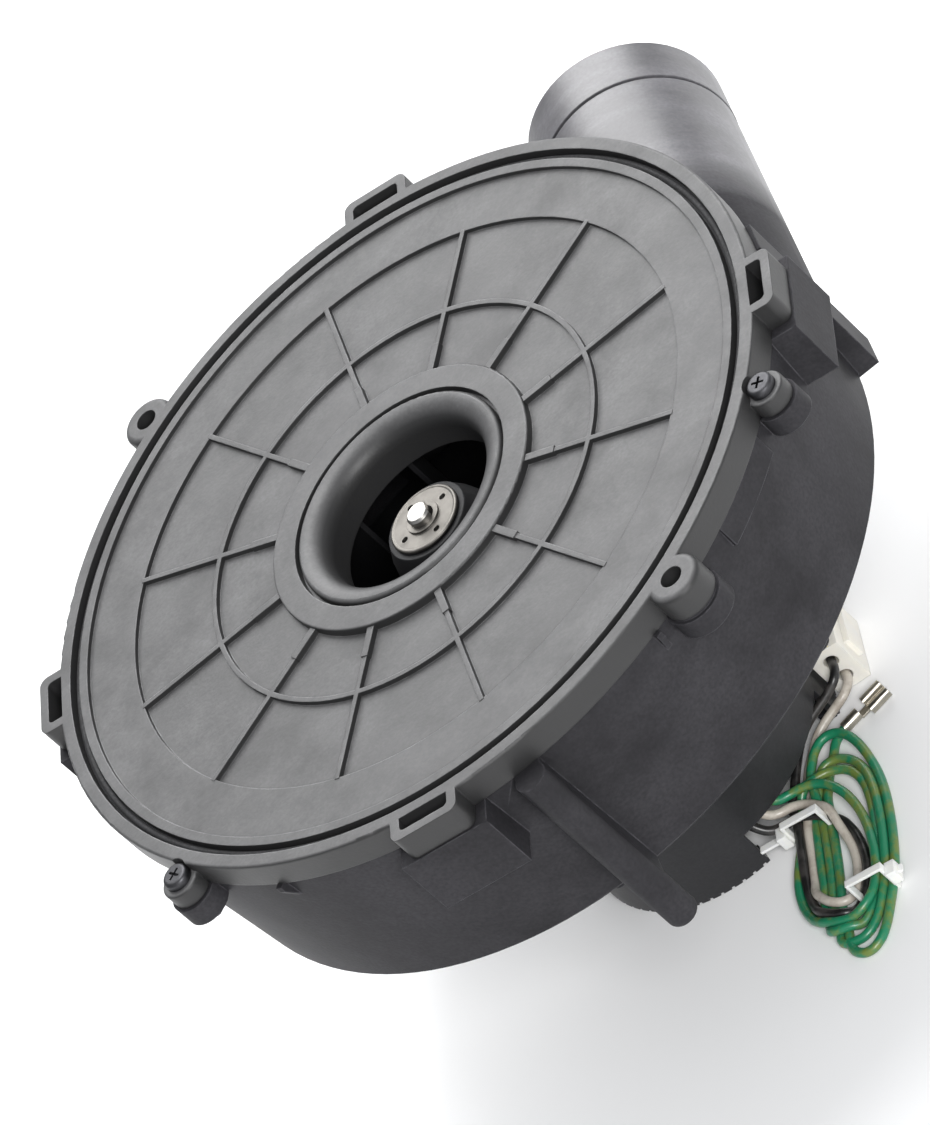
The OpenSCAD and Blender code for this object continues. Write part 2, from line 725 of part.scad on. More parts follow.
module lead_clamp() {
    color("#26272a") rotate([0, 0, 288]) difference() {
        translate([33.2, -8.8, rear_bracket_z + 0.2]) cube([4.6, 17.6, 3.8]);
        for (s = [-1, 0, 1]) translate([35.9, s * 4.3, rear_bracket_z - 1]) cylinder(r = lead_r, h = 8, $fn = 32);
    }
}

module green_lead() { color("#1f8a63") lead_tube(green_route, lead_r); }

module white_lead() { color("#d9d4c8") lead_tube(white_route, lead_r); }

module black_lead() { color("#1c1c1e") lead_tube(black_route, lead_r); }

module green_lead_tail() { color("#1f8a63") lead_tube(green_tail_route, lead_r); }

module white_lead_tail() { color("#d9d4c8") lead_tube(white_tail_route, lead_r); }

module black_lead_tail() { color("#1c1c1e") lead_tube(black_tail_route, lead_r); }

module lead_coil() {
    d = coil_top - coil_low;
    turn = atan2(d[1], d[0]);
    color("#2c8f69") translate([coil_low[0], coil_low[1], floor_z]) rotate([0, 0, turn]) {
        cylinder(r = coil_r, h = coil_h);
        translate([norm(d), 0, 0]) cylinder(r = coil_r, h = coil_h);
        translate([0, 0.4 - coil_r, 0]) cube([norm(d), 2 * coil_r - 0.8, coil_h]);
    }
}

module ground_terminal() {
    color("#b8b29a") translate([terminal_at[0], terminal_at[1], floor_z]) rotate([0, 0, terminal_turn]) {
        // crimp barrels
        translate([0.3, 0, lead_r + 0.35]) rotate([0, 90, 0]) difference() {
            cylinder(r = 1.85, h = 6.4);
            translate([0, 0, -1]) cylinder(r = 1.3, h = 8);
        }
        // receptacle with rolled sides
        translate([6.4, -1.4, 0.1]) cube([3.4, 2.8, 0.7]);
        translate([9.6, -3.7, 0.1]) cube([7.6, 7.4, 0.7]);
        for (s = [-1, 1]) translate([9.6, s * 2.6, 1.5]) rotate([0, 90, 0]) difference() {
            cylinder(r = 1.4, h = 7.6);
            translate([0, 0, -1]) cylinder(r = 0.75, h = 10);
        }
    }
}

module on_connector() {
    translate([connector_at[0], connector_at[1], floor_z]) rotate([0, 0, connector_turn]) children();
}

module lead_connector() {
    color("#ecebe6") on_connector() difference() {
        union() {
            translate([0, -connector_t / 2, 0]) cube([connector_l, connector_t, connector_w]);
            // latch on the outer side
            translate([4, -connector_t / 2 - 1.8, 5]) cube([14, 1.9, 7.6]);
        }
        for (h = [5.2, 12.4]) {
            translate([-1, 0, h]) rotate([0, 90, 0]) cylinder(r = 2.3, h = 9);
            translate([7.9, 0, h]) rotate([0, 90, 0]) cylinder(r = 2.9, h = connector_l);
        }
    }
}

module connector_sockets() {
    color("#c8a45a") on_connector() for (h = [5.2, 12.4])
        translate([8, 0, h]) rotate([0, 90, 0]) difference() {
            cylinder(r = 2.3, h = 11);
            translate([0, 0, 2]) cylinder(r = 1.2, h = 20);
        }
}

// Strap round a stretch of the coil, with its head and tail
module cable_tie(at, turn, w, h, tail) {
    strap = 2.5;
    t = 1;
    translate([at[0], at[1], floor_z]) rotate([0, 0, turn]) {
        difference() {
            translate([-strap / 2, -w / 2, 0.1]) cube([strap, w, h]);
            translate([-strap / 2 - 1, -w / 2 + t, 0.1 + t]) cube([strap + 2, w - 2 * t, h - 2 * t]);
        }
        translate([-2.4, -w / 2 - 3, h / 2 - 2]) cube([4.8, 3.2, 5]);
        translate([-strap / 2, -w / 2 - 3 - tail, h / 2]) cube([strap, tail + 0.1, t]);
    }
}

module inner_cable_tie() { color("#efefec") cable_tie([22.5, -49.8], 256.4, 13, 10.6, 7); }

module outer_cable_tie() { color("#efefec") cable_tie([33.4, -88.7], 76.4, 12.5, 10.6, 1.5); }

inlet_cover();
face_gasket();
scroll_housing();
assembly_screws();
impeller();
impeller_front_plate();
impeller_hub();
motor_shaft();
shaft_seal();
seal_retainer();
front_bracket();
front_bearing();
stator_core();
end_insulators();
stator_windings();
thermal_protector();
rotor_core();
rotor_end_rings();
thrust_washers();
rear_bracket();
rear_bearing();
motor_through_bolts();
motor_bolt_nuts();
bracket_screws();
cooling_fan();
fan_retaining_clip();
motor_shroud();
shroud_screws();
shroud_isolators();
lead_clamp();
green_lead();
white_lead();
black_lead();
lead_coil();
green_lead_tail();
white_lead_tail();
black_lead_tail();
ground_terminal();
lead_connector();
connector_sockets();
inner_cable_tie();
outer_cable_tie();
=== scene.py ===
"""Looks of the combustion fan: finishes, the three free leads, floor, light and camera."""

import json

import bpy
import numpy as np
from mathutils import Matrix, Vector


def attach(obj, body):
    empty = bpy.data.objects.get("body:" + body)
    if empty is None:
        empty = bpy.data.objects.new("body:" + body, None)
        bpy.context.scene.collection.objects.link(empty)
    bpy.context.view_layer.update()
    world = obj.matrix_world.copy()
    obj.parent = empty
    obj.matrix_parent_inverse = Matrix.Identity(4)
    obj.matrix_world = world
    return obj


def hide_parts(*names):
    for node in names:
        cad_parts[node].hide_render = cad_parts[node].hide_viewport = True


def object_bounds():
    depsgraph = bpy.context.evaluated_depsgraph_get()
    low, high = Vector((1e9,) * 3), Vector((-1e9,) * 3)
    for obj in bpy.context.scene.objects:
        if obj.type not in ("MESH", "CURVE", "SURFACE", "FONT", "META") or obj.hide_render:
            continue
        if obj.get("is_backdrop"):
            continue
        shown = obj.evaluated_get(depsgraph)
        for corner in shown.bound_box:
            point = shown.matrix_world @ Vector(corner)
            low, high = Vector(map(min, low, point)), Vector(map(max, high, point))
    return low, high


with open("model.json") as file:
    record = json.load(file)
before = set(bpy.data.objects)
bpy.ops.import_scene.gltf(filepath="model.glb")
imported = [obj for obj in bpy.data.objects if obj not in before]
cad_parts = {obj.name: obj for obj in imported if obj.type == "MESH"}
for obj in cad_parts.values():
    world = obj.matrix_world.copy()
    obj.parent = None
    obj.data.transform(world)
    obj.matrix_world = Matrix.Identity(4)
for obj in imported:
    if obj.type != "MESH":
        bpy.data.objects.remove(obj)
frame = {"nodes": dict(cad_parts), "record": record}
NODES = frame["nodes"]
CAD_LOW, CAD_HIGH = (Vector(corner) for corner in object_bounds())
MM = 0.001
FLOOR_Z = CAD_LOW.z

# ---------- camera ----------

TARGET = Vector((0.0028, -0.0154, -0.0222))
DISTANCE = 2.484
RIGHT = Vector((0.76012, -0.23190, -0.60698))
UP = Vector((0.61075, 0.57383, 0.54561))
LENS_MM = 278.5
SENSOR_MM = 36.0


def add_camera():
    """The photograph's view: from above the inlet, rolled so that the outlet is at the top."""
    back = RIGHT.cross(UP).normalized()
    place = TARGET + DISTANCE * back
    data = bpy.data.cameras.new("camera")
    data.lens = LENS_MM
    data.sensor_width = SENSOR_MM
    data.sensor_fit = "AUTO"
    data.clip_end = 20
    camera = bpy.data.objects.new("camera", data)
    columns = Matrix((RIGHT, UP, back)).transposed()
    camera.matrix_world = Matrix.Translation(place) @ columns.to_4x4()
    bpy.context.scene.collection.objects.link(camera)
    bpy.context.scene.camera = camera


add_camera()

# ---------- materials ----------

# The outlet pipe runs along +Y round this line, and shows from PIPE_START_Y on
PIPE_X = 0.0954
PIPE_Z = -0.0405
PIPE_R = 0.031
PIPE_START_Y = 0.045
# Radius over which an edge counts as worn
PLASTIC_EDGE = 0.0006
METAL_EDGE = 0.0003
NYLON_EDGE = 0.0005


class Shader:
    """A material's node tree, with short calls for the nodes that every finish uses."""

    def __init__(self, name):
        self.material = bpy.data.materials.new(name)
        self.material.use_nodes = True
        self.tree = self.material.node_tree
        self.tree.nodes.clear()
        self.out = self.add("ShaderNodeOutputMaterial")
        self.principled = self.add("ShaderNodeBsdfPrincipled")
        self.link(self.principled.outputs[0], self.out.inputs["Surface"])
        self.place = self.add("ShaderNodeTexCoord").outputs["Object"]

    def add(self, kind, **values):
        made = self.tree.nodes.new(kind)
        for key, value in values.items():
            setattr(made, key, value)
        return made

    def link(self, source, target):
        self.tree.links.new(source, target)

    def stretched(self, stretch):
        """The object's coordinates, scaled along each axis."""
        made = self.add("ShaderNodeMapping")
        made.inputs["Scale"].default_value = stretch
        self.link(self.place, made.inputs["Vector"])
        return made.outputs[0]

    def noise(self, scale, detail=4.0, rough=0.55, stretch=None, low=0.35, high=0.65):
        """Noise from 0 to 1, with its contrast set by low and high."""
        made = self.add("ShaderNodeTexNoise")
        made.inputs["Scale"].default_value = scale
        made.inputs["Detail"].default_value = detail
        made.inputs["Roughness"].default_value = rough
        self.link(self.stretched(stretch) if stretch else self.place, made.inputs["Vector"])
        return self.remap(made.outputs["Fac"], low, high, 0.0, 1.0)

    def remap(self, value, low, high, new_low, new_high):
        made = self.add("ShaderNodeMapRange")
        for socket, number in zip(made.inputs[1:5], (low, high, new_low, new_high)):
            socket.default_value = number
        self.link(value, made.inputs[0])
        return made.outputs[0]

    def facing_up(self):
        """1 on faces that look along +Z and 0 on faces that look sideways or down."""
        apart = self.add("ShaderNodeSeparateXYZ")
        self.link(self.add("ShaderNodeTexCoord").outputs["Normal"], apart.inputs[0])
        return self.remap(apart.outputs["Z"], 0.55, 0.95, 0.0, 1.0)

    def pipe_share(self):
        """1 on the outlet pipe and 0 away from it, in the object's coordinates."""
        apart = self.add("ShaderNodeSeparateXYZ")
        self.link(self.place, apart.inputs[0])
        across = self.math("SUBTRACT", apart.outputs["X"], PIPE_X)
        up = self.math("SUBTRACT", apart.outputs["Z"], PIPE_Z)
        across_squared = self.math("MULTIPLY", across, across)
        up_squared = self.math("MULTIPLY", up, up)
        radius = self.math("POWER", self.math("ADD", across_squared, up_squared), 0.5)
        inside = self.remap(radius, PIPE_R + 0.001, PIPE_R + 0.005, 1.0, 0.0)
        beyond = self.remap(apart.outputs["Y"], PIPE_START_Y, PIPE_START_Y + 0.02, 0.0, 1.0)
        return self.math("MULTIPLY", inside, beyond)

    def math(self, operation, a, b):
        """One arithmetic step on two values. Each is a number or a socket."""
        made = self.add("ShaderNodeMath", operation=operation)
        for socket, value in zip(made.inputs, (a, b)):
            if isinstance(value, (int, float)):
                socket.default_value = value
            else:
                self.link(value, socket)
        return made.outputs[0]

    def mix(self, factor, a, b):
        """Colour a where factor is 0, colour b where it is 1. Each is a colour or a socket."""
        made = self.add("ShaderNodeMix", data_type="RGBA")
        self.link(factor, made.inputs[0])
        for socket, value in zip((made.inputs[6], made.inputs[7]), (a, b)):
            if isinstance(value, tuple):
                socket.default_value = (*value, 1)
            else:
                self.link(value, socket)
        return made.outputs[2]

    def edges(self, radius, low=0.004, high=0.05):
        """1 on the edges of the shape and 0 on its faces, and the rounded normal."""
        soft = self.add("ShaderNodeBevel", samples=4)
        soft.inputs["Radius"].default_value = radius
        geometry = self.add("ShaderNodeNewGeometry")
        dot = self.add("ShaderNodeVectorMath", operation="DOT_PRODUCT")
        self.link(soft.outputs[0], dot.inputs[0])
        self.link(geometry.outputs["Normal"], dot.inputs[1])
        return self.remap(dot.outputs["Value"], 1 - low, 1 - high, 0.0, 1.0), soft.outputs[0]

    def finish(self, color, roughness, height=None, strength=0.2, depth=0.0002, normal=None):
        """Joins colour, roughness and bump to the shader."""
        self.link(color, self.principled.inputs["Base Color"])
        self.link(roughness, self.principled.inputs["Roughness"])
        if height is not None:
            bump = self.add("ShaderNodeBump")
            bump.inputs["Strength"].default_value = strength
            bump.inputs["Distance"].default_value = depth
            self.link(height, bump.inputs["Height"])
            if normal is not None:
                self.link(normal, bump.inputs["Normal"])
            self.link(bump.outputs[0], self.principled.inputs["Normal"])
        return self.material


def scaled(color, factor):
    """The colour made lighter or darker by a factor."""
    return tuple(min(channel * factor, 1.0) for channel in color)


def moulded_plastic(name, color, rough=0.5, mottle=0.35, wear=0.6, marks=0.3, shine=0.4,
                    pipe_painted_sheen=False, stains_and_side_shade=False):
    """Glass-filled plastic: cloudy patches, fine pits, faint pale rubs and paler worn edges.

    With the pipe option, the outlet pipe is smoother and glossier, and its colour is painted
    paler as a painted sheen, though it is the same plastic. With the other option, random stains
    darken the faces, and faces that look sideways or down are painted dark as painted shade.
    """
    s = Shader(name)
    s.principled.inputs["Specular IOR Level"].default_value = shine
    clouds = s.noise(22, 5, 0.6)
    flow = s.noise(34, 6, 0.65, stretch=(0.5, 1.7, 1.0), low=0.42, high=0.72)
    pits = s.noise(900, 3, 0.5, low=0.3, high=0.7)
    rubs = s.noise(15, 8, 0.72, low=0.55, high=0.78)
    worn, soft_normal = s.edges(PLASTIC_EDGE)
    base = s.mix(clouds, scaled(color, 1 - mottle / 2), scaled(color, 1 + mottle / 2))
    base = s.mix(s.math("MULTIPLY", flow, marks), base, scaled(color, 1.9))
    base = s.mix(s.math("MULTIPLY", rubs, marks * 0.9), base, scaled(color, 2.6))
    base = s.mix(s.math("MULTIPLY", pits, 0.45), base, scaled(color, 0.55))
    chips = s.math("MULTIPLY", worn, s.noise(260, 3, 0.6, low=0.3, high=0.62))
    base = s.mix(s.math("MULTIPLY", chips, wear), base, scaled(color, 4.2))
    roughness = s.remap(s.math("ADD", clouds, rubs), 0.0, 2.0, rough - 0.07, rough + 0.1)
    height = s.math("ADD", pits, s.math("MULTIPLY", clouds, 0.8))
    if stains_and_side_shade:
        stains = s.noise(46, 7, 0.68, low=0.4, high=0.66)
        base = s.mix(s.math("MULTIPLY", stains, 0.8), base, scaled(color, 0.5))
        # Painted shade: faces that look sideways or down are darkened to about a quarter of the
        # tone, so only faces along +Z keep it.
        base = s.mix(s.facing_up(), scaled(color, 0.26), base)
    # Painted sheen: on the outlet pipe the colour is lifted 2.2 to 5.2 times in flow streaks to
    # stand in for the softbox highlight, though the pipe is the same plastic as the drum; it is
    # also smoother and glossier.
    if pipe_painted_sheen:
        pipe = s.pipe_share()
        s.link(s.remap(pipe, 0.0, 1.0, shine, 0.9), s.principled.inputs["Specular IOR Level"])
        roughness = s.math("SUBTRACT", roughness, s.math("MULTIPLY", pipe, 0.08))
        painted_sheen_streaks = s.mix(flow, scaled(color, 2.2), scaled(color, 5.2))
        base = s.mix(pipe, base, s.mix(s.math("MULTIPLY", pits, 0.5), painted_sheen_streaks, scaled(color, 1.2)))
    return s.finish(base, roughness, height, 0.16, 0.00012, soft_normal)


def soft_rubber(name, color, rough=0.75):
    """Matt rubber with fine dust."""
    s = Shader(name)
    dust = s.noise(120, 5, 0.6)
    grain = s.noise(1500, 2, 0.5)
    base = s.mix(dust, scaled(color, 0.8), scaled(color, 1.8))
    roughness = s.remap(grain, 0, 1, rough - 0.08, min(rough + 0.12, 1.0))
    return s.finish(base, roughness, grain, 0.25, 0.0001)


def metal(name, color, rough=0.3, brushed=None, tarnish=0.25):
    """Bare or plated metal with tarnish, fine scratches and bright edges."""
    s = Shader(name)
    s.principled.inputs["Metallic"].default_value = 1.0
    cloud = s.noise(90, 6, 0.6)
    scratch = s.noise(420, 3, 0.55, stretch=brushed or (1.0, 1.0, 1.0), low=0.3, high=0.7)
    worn, soft_normal = s.edges(METAL_EDGE)
    base = s.mix(cloud, scaled(color, 1 - tarnish), scaled(color, 1.05))
    base = s.mix(s.math("MULTIPLY", worn, 0.5), base, scaled(color, 1.35))
    roughness = s.remap(s.math("ADD", cloud, scratch), 0.0, 2.0, rough - 0.08, rough + 0.16)
    return s.finish(base, roughness, scratch, 0.12, 0.00008, soft_normal)


def nylon(name, color, rough=0.42, clear=0.25):
    """Natural nylon: slightly clear, with faint yellow patches and moulding grain."""
    s = Shader(name)
    cloud = s.noise(160, 4, 0.6)
    grain = s.noise(1800, 2, 0.5)
    base = s.mix(cloud, scaled(color, 0.93), (color[0], color[1] * 0.985, color[2] * 0.94))
    s.principled.inputs["Subsurface Weight"].default_value = clear
    s.principled.inputs["Subsurface Radius"].default_value = (0.003, 0.003, 0.0025)
    s.principled.inputs["Subsurface Scale"].default_value = 1.0
    roughness = s.remap(cloud, 0, 1, rough - 0.06, rough + 0.1)
    _, soft_normal = s.edges(NYLON_EDGE)
    return s.finish(base, roughness, grain, 0.08, 0.00005, soft_normal)


def insulation(name, color, stain, stain_share=0.5, rough=0.36):
    """Vinyl lead insulation: stained stretches, rubs and a soft gloss."""
    s = Shader(name)
    stretches = s.noise(150, 4, 0.62, low=0.46, high=0.6)
    rubs = s.noise(420, 5, 0.7, low=0.55, high=0.8)
    grain = s.noise(1300, 2, 0.5)
    base = s.mix(s.math("MULTIPLY", stretches, stain_share), color, stain)
    base = s.mix(s.math("MULTIPLY", rubs, 0.35), base, scaled(stain, 0.55))
    s.principled.inputs["Coat Weight"].default_value = 0.15
    s.principled.inputs["Coat Roughness"].default_value = 0.25
    roughness = s.remap(rubs, 0, 1, rough, rough + 0.25)
    return s.finish(base, roughness, grain, 0.1, 0.00006)


def wound_copper(name):
    """Enamelled wire wound round the stack: fine ridges across the winding."""
    s = Shader(name)
    s.principled.inputs["Metallic"].default_value = 0.75
    ridges = s.noise(700, 2, 0.4, stretch=(1, 1, 4.0), low=0.3, high=0.7)
    cloud = s.noise(60, 4, 0.6)
    base = s.mix(ridges, (0.16, 0.045, 0.015), (0.5, 0.19, 0.07))
    roughness = s.remap(cloud, 0, 1, 0.3, 0.5)
    return s.finish(base, roughness, ridges, 0.7, 0.0005)


def laminated_steel(name):
    """Stacked sheet steel under thin varnish."""
    s = Shader(name)
    s.principled.inputs["Metallic"].default_value = 0.8
    sheets = s.noise(60, 2, 0.4, stretch=(0.1, 0.1, 34), low=0.35, high=0.65)
    rust = s.noise(70, 6, 0.7, low=0.6, high=0.75)
    base = s.mix(sheets, (0.1, 0.105, 0.115), (0.26, 0.265, 0.28))
    base = s.mix(s.math("MULTIPLY", rust, 0.5), base, (0.16, 0.07, 0.035))
    roughness = s.remap(rust, 0, 1, 0.42, 0.7)
    return s.finish(base, roughness, sheets, 0.5, 0.0002)


def build_finishes():
    """One material for each material slot of the record."""
    charcoal = (0.082, 0.0815, 0.083)
    return {
        "cover_plastic": moulded_plastic("cover_plastic", charcoal, 0.5, 0.5, 0.5, stains_and_side_shade=True),
        # Painted shade: the drum's colour is set at about a third of the cover's charcoal to stand
        # in for the shade on its sides, which face away from the light.
        "housing_plastic": moulded_plastic("housing_plastic", (0.027, 0.0263, 0.029), 0.54, 0.8,
                                           marks=0.4, shine=0.06, pipe_painted_sheen=True),
        "black_rubber": soft_rubber("black_rubber", (0.006, 0.006, 0.007)),
        "black_steel": metal("black_steel", (0.07, 0.07, 0.075), 0.42),
        "impeller_plastic": moulded_plastic("impeller_plastic", (0.006, 0.006, 0.007),
                                            0.6, 0.3, 0.3),
        "hub_steel": metal("hub_steel", (0.2, 0.19, 0.175), 0.45, tarnish=0.4),
        "shaft_steel": metal("shaft_steel", (0.42, 0.41, 0.39), 0.3, brushed=(0.2, 0.2, 4)),
        "seal_silicone": soft_rubber("seal_silicone", (0.2, 0.035, 0.02), 0.5),
        "zinc_steel": metal("zinc_steel", (0.5, 0.52, 0.54), 0.32),
        "bronze": metal("bronze", (0.46, 0.27, 0.11), 0.4),
        "lamination_steel": laminated_steel("lamination_steel"),
        "insulator_plastic": nylon("insulator_plastic", (0.62, 0.56, 0.43)),
        "copper_wire": wound_copper("copper_wire"),
        "cast_aluminium": metal("cast_aluminium", (0.6, 0.61, 0.63), 0.45),
        "shroud_plastic": moulded_plastic("shroud_plastic", (0.018, 0.018, 0.02), 0.42, 0.3, 0.6),
        "green_insulation": insulation("green_insulation", (0.012, 0.19, 0.092),
                                       (0.17, 0.2, 0.03), 0.8),
        "white_insulation": insulation("white_insulation", (0.5, 0.46, 0.4),
                                       (0.24, 0.19, 0.15), 0.5),
        "black_insulation": insulation("black_insulation", (0.008, 0.008, 0.008),
                                       (0.1, 0.09, 0.085), 0.35),
        "terminal_brass": metal("terminal_brass", (0.5, 0.47, 0.4), 0.34),
        "socket_brass": metal("socket_brass", (0.66, 0.46, 0.2), 0.32),
        "connector_nylon": nylon("connector_nylon", (0.8, 0.78, 0.73)),
        "tie_nylon": nylon("tie_nylon", (0.86, 0.87, 0.86)),
    }


FINISHES = build_finishes()
SLOT_OF = {part["node"]: part["material_slot"] for part in frame["record"]["subparts"]}


def dress_nodes():
    """Gives each CAD node the finish of its slot."""
    for name, node in NODES.items():
        node.data.materials.clear()
        node.data.materials.append(FINISHES[SLOT_OF[name]])


dress_nodes()

# ---------- the three leads ----------

LEAD_D = 0.0029
LEAD_R = LEAD_D / 2
# Distance between the points of a lead while it settles
STEP = 0.0026
# The spare lead lies in flat loops round this centre, long along COIL_ALONG
COIL_CENTRE = Vector((0.033, -0.067, 0))
COIL_ALONG = Vector((0.2346, 0.9721, 0))
COIL_ACROSS = Vector((0.9721, -0.2346, 0))

# How the leads settle: shares of a distance in one round, and the fall in metres
FALL = 0.00006
PULL_HOME = 0.03
SMOOTHING = 0.25
PUSH_APART = 0.45
# Points of one lead closer than this along it don't push each other
NEAR_POINTS = 7
# Points at the clamp and at the connector that stay where they are
HELD_AT_START = 6
HELD_AT_END = 4


def point(x, y, z):
    """A point of the shared frame, given in millimetres."""
    return Vector((x, y, z)) * MM


def loops(*rows):
    """Points of a loop, as millimetres along the coil, across it, and layers above the floor."""
    made = []
    for along, across, layer in rows:
        flat = COIL_CENTRE + COIL_ALONG * along * MM + COIL_ACROSS * across * MM
        made.append(Vector((flat.x, flat.y, FLOOR_Z + LEAD_R + layer * LEAD_D)))
    return made


GREEN_ROUTE = [
    point(15.2, -32.8, -130), point(15.4, -33.8, -135),
    point(15.9, -36.2, -139.5), point(17.2, -38.4, -143),
    *loops(
        (26.0, -21.0, 2.6), (28.5, -15.5, 2.8), (29.0, -10.0, 2.8), (26.5, -5.5, 2.6),
        (21.5, -1.0, 2.2), (12.5, 3.2, 1.6), (-1.5, 6.3, 1.3), (-13, 7.2, 1.2),
        (-21, 6.0, 1.2), (-27.6, 2.6, 1.2), (-30, -4.2, 1.2), (-26, -12.4, 1.1),
        (-17, -19.6, 0.8), (-7, -22.4, 0.2), (3.5, -21.4, 0), (13, -18.4, 0),
        (21, -16.8, 0.4),
    ),
    *loops(
        (27, -16.5, 1.5), (31.5, -10.5, 2.0), (33.6, -4.4, 1.6), (32.6, 0.2, 1.2),
        (27.6, 4.0, 0.8), (20.8, 5.6, 0.3), (11.0, 6.2, 0), (-1, 6.4, 0), (-14, 5.8, 0),
        (-25, 3.4, 0), (-31.6, -1.0, 0), (-31, -7.5, 0.1), (-23, -13.2, 0.2),
        (-11, -14.6, 0.1), (2, -14.0, 0), (12, -14.2, 0.1), (20, -14.6, 0.5),
    ),
    *loops(
        (29, -13.0, 1.4), (36.4, -8.6, 1.8), (38.2, -2.8, 1.4), (33.6, 3.0, 1.0),
        (24.0, 7.2, 0.9), (11.6, 9.4, 1.0), (-3, 9.8, 1.0), (-16, 9.0, 1.0),
        (-27, 6.0, 0.8), (-34.4, 1.6, 0.3), (-37.4, -4.0, 0), (-32, -9.4, 0),
        (-20, -11.2, 0), (-4, -10.2, 0), (8, -10.2, 0), (19, -11.6, 0.6),
    ),
    *loops(
        (31, -12.2, 1.6), (41, -11.2, 2.0), (47.4, -7.6, 2.0), (48.0, -2.4, 1.8),
        (43.2, 2.6, 1.5), (31.4, 7.4, 0.8), (16, 10.2, 0.1), (0.6, 11.2, 0), (-13, 10.6, 0),
        (-27, 8.4, 0), (-37.6, 6.0, 0), (-42.8, 2.4, 0), (-43.4, -2.6, 0), (-38.4, -6.0, 0),
        (-29, -7.8, 0), (-15, -7.6, 0), (-1, -7.8, 0), (9, -8.8, 0), (19, -10.0, 0.2),
    ),
    *loops((28, -9.6, 0.3), (36, -8.0, 0.3), (42, -4.4, 0.2)),
    point(40.4, -21.8, -152.1), point(44.2, -20.1, -151.9),
]

WHITE_ROUTE = [
    point(11.1, -34.1, -130), point(11.3, -35.3, -135),
    point(12.0, -38.0, -139.5), point(13.6, -41.0, -143.4),
    *loops(
        (20.5, -25.6, 2.4), (24.0, -20.0, 2.4), (24.5, -14.4, 2.2), (20.8, -9.4, 1.8),
        (12.8, -5.0, 1.2), (2.6, -1.8, 0.5), (-9, -0.6, 0), (-16.5, -2.0, 0),
        (-21.2, -5.4, 0), (-20.8, -9.6, 0.2), (-15.4, -13.2, 0.3), (-7, -15.8, 0.2),
        (2, -16.6, 0.3), (11, -15.4, 0.8), (20.4, -15.4, 1.1), (29, -16.2, 0.3),
        (38, -15.6, 0.3), (46, -13.0, 0.6), (52.5, -9.0, 1.2),
    ),
    point(49.5, -12.6, -147.4), point(51.9, -8.4, -148.3), point(52.3, -3.5, -148.5),
]

BLACK_ROUTE = [
    point(7.0, -35.5, -130), point(7.2, -36.8, -135),
    point(7.8, -39.6, -139.5), point(9.4, -43.4, -143.6),
    *loops(
        (16.0, -26.6, 2.0), (19.4, -20.4, 1.8), (20.2, -14.0, 1.7), (17.6, -8.4, 1.4),
        (10.6, -2.6, 0.8), (0.6, 1.4, 0.1), (-9, 3.0, 0), (-18, 1.6, 0), (-25.0, -2.2, 0),
        (-26.6, -7.8, 0.1), (-21.6, -13.4, 0.9), (-13, -17.4, 0.6), (-3, -19.0, 0.6),
        (7, -18.6, 1.0), (14, -17.4, 1.2), (21, -17.6, 1.8), (29, -18.8, 1.4),
        (38, -17.6, 1.6), (46, -14.6, 2.2), (51.0, -10.8, 3.0),
    ),
    point(48.6, -13.4, -141.8), point(51.7, -8.6, -141.4), point(52.2, -3.5, -141.3),
]


def spline_point(a, b, c, d, t):
    """A point between b and c on the smooth curve through four points."""
    square = (2 * a - 5 * b + 4 * c - d) * t**2
    cube = (3 * b - a - 3 * c + d) * t**3
    return 0.5 * (2 * b + (c - a) * t + square + cube)


def smooth_line(route):
    """Points one STEP apart on the smooth curve through the route."""
    ends = [2 * route[0] - route[1], *route, 2 * route[-1] - route[-2]]
    dense = []
    for i in range(len(route) - 1):
        dense += [spline_point(*ends[i : i + 4], k / 12) for k in range(12)]
    dense = np.array([*dense, route[-1]], float)
    length = np.concatenate([[0], np.cumsum(np.linalg.norm(np.diff(dense, axis=0), axis=1))])
    count = int(round(length[-1] / STEP))
    at = np.linspace(0, length[-1], count + 1)
    return np.stack([np.interp(at, length, dense[:, axis]) for axis in range(3)], axis=1)


def settle(lines, rounds=160):
    """Lets the leads push each other apart where they cross, lie on the floor and stay smooth."""
    sizes = [len(line) for line in lines]
    owner = np.repeat(np.arange(len(lines)), sizes)
    order = np.concatenate([np.arange(size) for size in sizes])
    home = np.concatenate(lines)
    points = home.copy()
    last = np.repeat(sizes, sizes) - 1
    held = (order < HELD_AT_START) | (order > last - HELD_AT_END)
    same_lead = owner[:, None] == owner[None]
    near = same_lead & (abs(order[:, None] - order[None]) < NEAR_POINTS)
    inner = np.flatnonzero((order > 0) & (order < last))
    gap = LEAD_D * 1.02
    for _ in range(rounds):
        points[:, 2] -= FALL
        points += PULL_HOME * (home - points)
        middle = 0.5 * (points[inner - 1] + points[inner + 1])
        points[inner] += SMOOTHING * (middle - points[inner])
        for _ in range(2):
            apart = points[:, None] - points[None]
            far = np.linalg.norm(apart, axis=2) + 1e-9
            push = np.where((far < gap) & ~near, (gap - far) / far, 0.0)
            points += PUSH_APART * np.einsum("ij,ijk->ik", push, apart)
            points[:, 2] = np.maximum(points[:, 2], FLOOR_Z + LEAD_R)
        points[held] = home[held]
    return np.split(points, np.cumsum(sizes)[:-1])


def lead_curve(name, line, finish):
    """A round lead along the line, as one smooth spline."""
    keep = [*range(0, len(line) - 2, 2), len(line) - 1]
    data = bpy.data.curves.new(name, "CURVE")
    data.dimensions = "3D"
    data.bevel_depth = LEAD_R
    data.bevel_resolution = 5
    data.resolution_u = 4
    data.use_fill_caps = True
    spline = data.splines.new("BEZIER")
    spline.bezier_points.add(len(keep) - 1)
    for knot, index in zip(spline.bezier_points, keep):
        knot.co = line[index]
        knot.handle_left_type = "AUTO"
        knot.handle_right_type = "AUTO"
    data.materials.append(finish)
    curve = bpy.data.objects.new(name, data)
    bpy.context.scene.collection.objects.link(curve)
    return curve


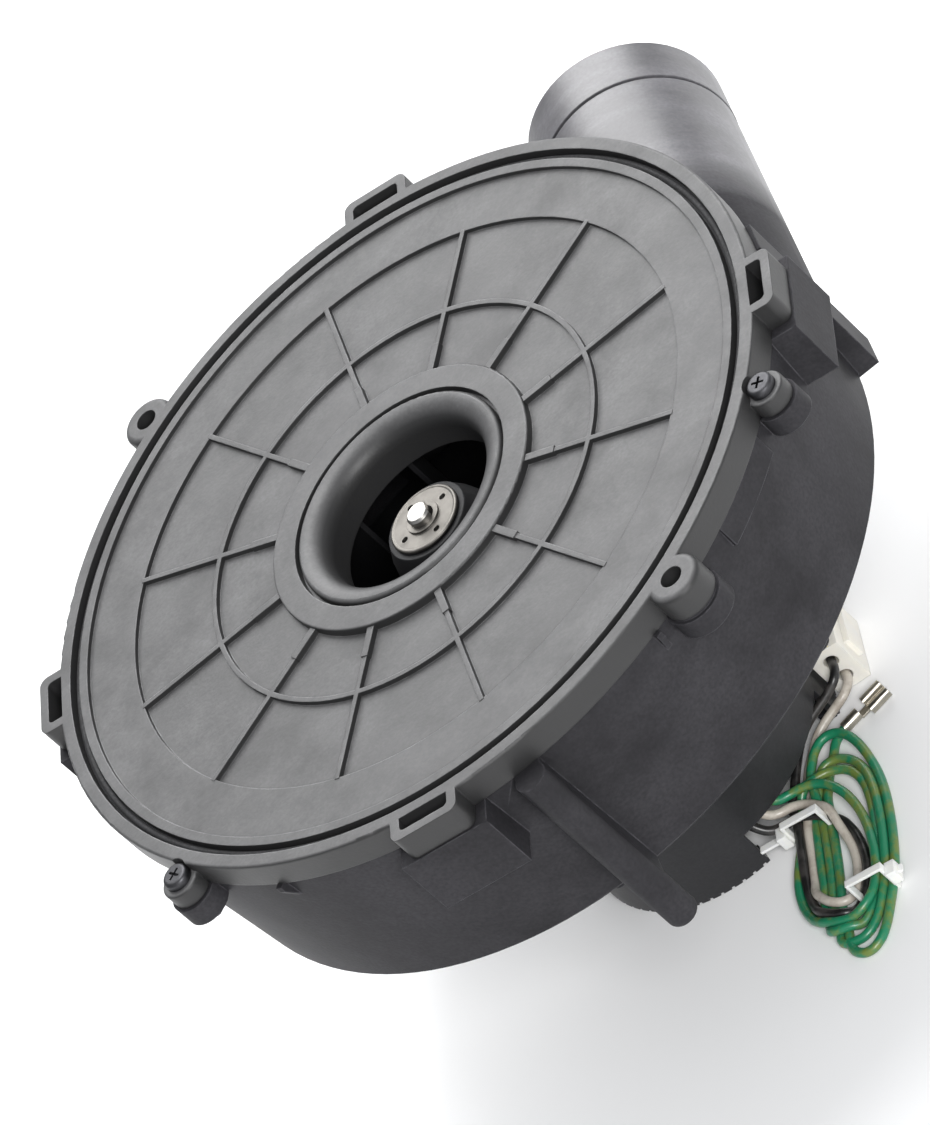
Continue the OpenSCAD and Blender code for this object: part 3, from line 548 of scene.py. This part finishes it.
def add_leads():
    """The three leads, each in place of its plain CAD pieces."""
    planned = [smooth_line(route) for route in (GREEN_ROUTE, WHITE_ROUTE, BLACK_ROUTE)]
    green_line, white_line, black_line = settle(planned)
    green = lead_curve("green_wire", green_line, FINISHES["green_insulation"])
    white = lead_curve("white_wire", white_line, FINISHES["white_insulation"])
    black = lead_curve("black_wire", black_line, FINISHES["black_insulation"])
    for lead, slot in ((green, "green"), (white, "white"), (black, "black")):
        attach(lead, "housing")
        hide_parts(slot + "_lead", slot + "_lead_tail")
    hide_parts("lead_coil")


add_leads()

# ---------- floor and light ----------

FLOOR_HALF = 6.0
FLOOR_GAP = 0.0002


def add_floor():
    """A wide plain pale floor that the fan stands on."""
    mesh = bpy.data.meshes.new("floor")
    half = FLOOR_HALF
    corners = [(-half, -half, 0), (half, -half, 0), (half, half, 0), (-half, half, 0)]
    mesh.from_pydata(corners, [], [(0, 1, 2, 3)])
    floor = bpy.data.objects.new("floor", mesh)
    floor.location.z = FLOOR_Z - FLOOR_GAP
    bpy.context.scene.collection.objects.link(floor)
    s = Shader("pale_floor")
    cloud = s.noise(3, 3, 0.5)
    base = s.mix(cloud, (0.9, 0.9, 0.9), (0.92, 0.92, 0.92))
    s.principled.inputs["Specular IOR Level"].default_value = 0.1
    mesh.materials.append(s.finish(base, s.remap(cloud, 0, 1, 0.8, 0.9)))
    floor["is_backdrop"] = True


def add_area(name, place, aim, size, power):
    """A round area light that looks from place to aim."""
    data = bpy.data.lights.new(name, "AREA")
    data.shape = "DISK"
    data.size = size
    data.energy = power
    light = bpy.data.objects.new(name, data)
    light.location = place
    light.rotation_euler = (Vector(aim) - Vector(place)).to_track_quat("-Z", "Y").to_euler()
    bpy.context.scene.collection.objects.link(light)


def add_light():
    """Overhead light, a softbox behind the outlet, a low fill in front and a pale room."""
    world = bpy.data.worlds.new("room")
    world.use_nodes = True
    background = world.node_tree.nodes["Background"]
    background.inputs["Color"].default_value = (0.95, 0.97, 1, 1)
    background.inputs["Strength"].default_value = 0.5
    bpy.context.scene.world = world
    add_area("overhead", (0.15, 0.75, 2.1), (0, 0, -0.05), 1.3, 34)
    add_area("softbox", (0.35, 1.96, 1.45), (0, 0, 0), 2.4, 72)
    add_area("fill", (0.7, -2.1, 1.3), (0, 0, -0.1), 1.0, 58)


add_floor()
add_light()
scene = bpy.context.scene
scene.view_settings.view_transform = "Standard"
scene.view_settings.look = "None"
